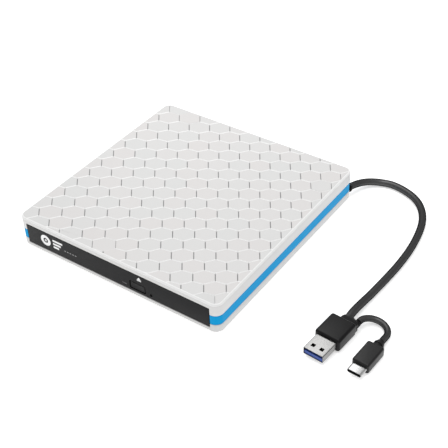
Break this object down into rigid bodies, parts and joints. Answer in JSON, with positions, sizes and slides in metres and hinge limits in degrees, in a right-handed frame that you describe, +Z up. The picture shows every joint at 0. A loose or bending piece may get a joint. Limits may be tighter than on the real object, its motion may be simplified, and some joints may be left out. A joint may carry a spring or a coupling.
{
  "type": "external optical drive",
  "caption": "Slim external disc drive: flat two-shell plastic case with a coloured band, sliding disc tray, eject button and a captive lead with two plugs.",
  "frame": {"origin": "on the resting surface under the middle of the case, lead and plugs not counted", "axes": "+X right and +Y back as seen from the front bezel, which faces -Y; +Z up"},
  "size_m": [0.2178, 0.1655, 0.021],
  "materials": {
    "shell_white": "warm white ABS with a soft satin moulded surface",
    "band_blue": "bright blue ABS, satin",
    "foot_rubber": "dark grey matt rubber",
    "bezel_black": "black ABS with a fine matt grain",
    "tray_black": "black moulded tray plastic",
    "claw_white": "white acetal",
    "sheet_steel": "zinc-plated sheet",
    "screw_steel": "blackened steel",
    "polished_steel": "ground steel rod",
    "damper_rubber": "soft black rubber",
    "circuit_board": "green solder mask",
    "chip_black": "moulded component body",
    "ribbon_amber": "amber film",
    "copper_coil": "lacquered copper winding",
    "led_lens": "smoked clear plastic, unlit",
    "lens_glass": "coated lens",
    "jacket_grey": "dark grey cable jacket with a soft sheen",
    "overmould_black": "black satin moulded sleeve",
    "plug_metal": "nickel-plated shell",
    "tongue_blue": "blue contact carrier"
  },
  "bodies": {
    "case": {"top_cover": "shell_white", "bottom_cover": "shell_white", "accent_band": "band_blue", "foot_front_left": "foot_rubber", "foot_front_right": "foot_rubber", "foot_rear_left": "foot_rubber", "foot_rear_right": "foot_rubber", "case_screw_front_left": "screw_steel", "case_screw_front_right": "screw_steel", "case_screw_rear_left": "screw_steel", "case_screw_rear_right": "screw_steel", "bridge_board": "circuit_board", "bridge_chip": "chip_black", "sata_socket": "chip_black", "chassis_pan": "sheet_steel", "chassis_lid": "sheet_steel", "rail_guide_left": "tray_black", "rail_guide_right": "tray_black", "lid_screw_left": "sheet_steel", "lid_screw_right": "sheet_steel", "drive_board": "circuit_board", "sata_plug": "chip_black", "flex_ribbon": "ribbon_amber", "cable_grommet": "overmould_black", "usb_cable": "jacket_grey", "usb_c_cable": "jacket_grey", "usb_a_overmould": "overmould_black", "usb_a_shell": "plug_metal", "usb_a_tongue": "tongue_blue", "usb_c_overmould": "overmould_black", "usb_c_shell": "plug_metal", "usb_c_tongue": "chip_black"},
    "left_rail": {"slide_rail_left": "sheet_steel"},
    "right_rail": {"slide_rail_right": "sheet_steel"},
    "tray": {"disc_tray": "tray_black", "front_bezel": "bezel_black", "activity_led": "led_lens", "tray_board": "circuit_board", "solenoid": "copper_coil", "traverse_deck": "sheet_steel", "traverse_cover": "sheet_steel", "spindle_motor": "sheet_steel", "guide_rod_front": "polished_steel", "guide_rod_rear": "polished_steel", "sled_motor": "sheet_steel", "damper_1": "damper_rubber", "damper_2": "damper_rubber", "damper_3": "damper_rubber"},
    "button": {"eject_button": "bezel_black"},
    "release_lever": {"latch_hook": "sheet_steel"},
    "plunger": {"solenoid_plunger": "sheet_steel"},
    "rotor": {"turntable": "tray_black"},
    "claw_1": {"clamp_claw_1": "claw_white"},
    "claw_2": {"clamp_claw_2": "claw_white"},
    "claw_3": {"clamp_claw_3": "claw_white"},
    "screw": {"lead_screw": "polished_steel"},
    "sled": {"pickup_sled": "tray_black"},
    "lens": {"lens_holder": "chip_black", "objective_lens": "lens_glass"}
  },
  "joints": [
    {"name": "tray_slide", "type": "slide", "parent": "case", "child": "tray", "axis": [0, -1, 0], "range_m": [0, 0.125]},
    {"name": "left_rail_slide", "type": "slide", "parent": "case", "child": "left_rail", "axis": [0, -1, 0], "range_m": [0, 0.0625]},
    {"name": "right_rail_slide", "type": "slide", "parent": "case", "child": "right_rail", "axis": [0, -1, 0], "range_m": [0, 0.0625]},
    {"name": "eject_press", "type": "slide", "parent": "tray", "child": "button", "axis": [0, 1, 0], "range_m": [0, 0.0008], "stiffness_N_per_m": 150},
    {"name": "release_turn", "type": "hinge", "parent": "tray", "child": "release_lever", "pos_m": [0.013, -0.059, 0.0068], "axis": [0, 0, 1], "range_deg": [0, 10]},
    {"name": "plunger_pull", "type": "slide", "parent": "tray", "child": "plunger", "axis": [-1, 0, 0], "range_m": [0, 0.00069], "stiffness_N_per_m": 150},
    {"name": "disc_spin", "type": "hinge", "parent": "tray", "child": "rotor", "pos_m": [0, -0.0062, 0.0123], "axis": [0, 0, 1], "continuous": true},
    {"name": "claw_1_press", "type": "slide", "parent": "rotor", "child": "claw_1", "axis": [-0.7071, -0.7071, 0], "range_m": [0, 0.0006], "stiffness_N_per_m": 100},
    {"name": "claw_2_press", "type": "slide", "parent": "rotor", "child": "claw_2", "axis": [0.9659, -0.2588, 0], "range_m": [0, 0.0006], "stiffness_N_per_m": 100},
    {"name": "claw_3_press", "type": "slide", "parent": "rotor", "child": "claw_3", "axis": [-0.2588, 0.9659, 0], "range_m": [0, 0.0006], "stiffness_N_per_m": 100},
    {"name": "sled_travel", "type": "slide", "parent": "tray", "child": "sled", "axis": [0.7071, -0.7071, 0], "range_m": [0, 0.03]},
    {"name": "screw_turn", "type": "hinge", "parent": "tray", "child": "screw", "pos_m": [0.01025, -0.03837, 0.0087], "axis": [0.7071, -0.7071, 0], "range_deg": [0, 3601]},
    {"name": "lens_focus", "type": "slide", "parent": "sled", "child": "lens", "axis": [0, 0, 1], "range_m": [-0.0004, 0.0004], "stiffness_N_per_m": 100}
  ],
  "couplings": [
    {"joint": "left_rail_slide", "follows": "tray_slide", "ratio": 0.5},
    {"joint": "right_rail_slide", "follows": "tray_slide", "ratio": 0.5},
    {"joint": "release_turn", "follows": "plunger_pull", "rad_per_m": 250},
    {"joint": "screw_turn", "follows": "sled_travel", "rad_per_m": 2094.4}
  ]
}
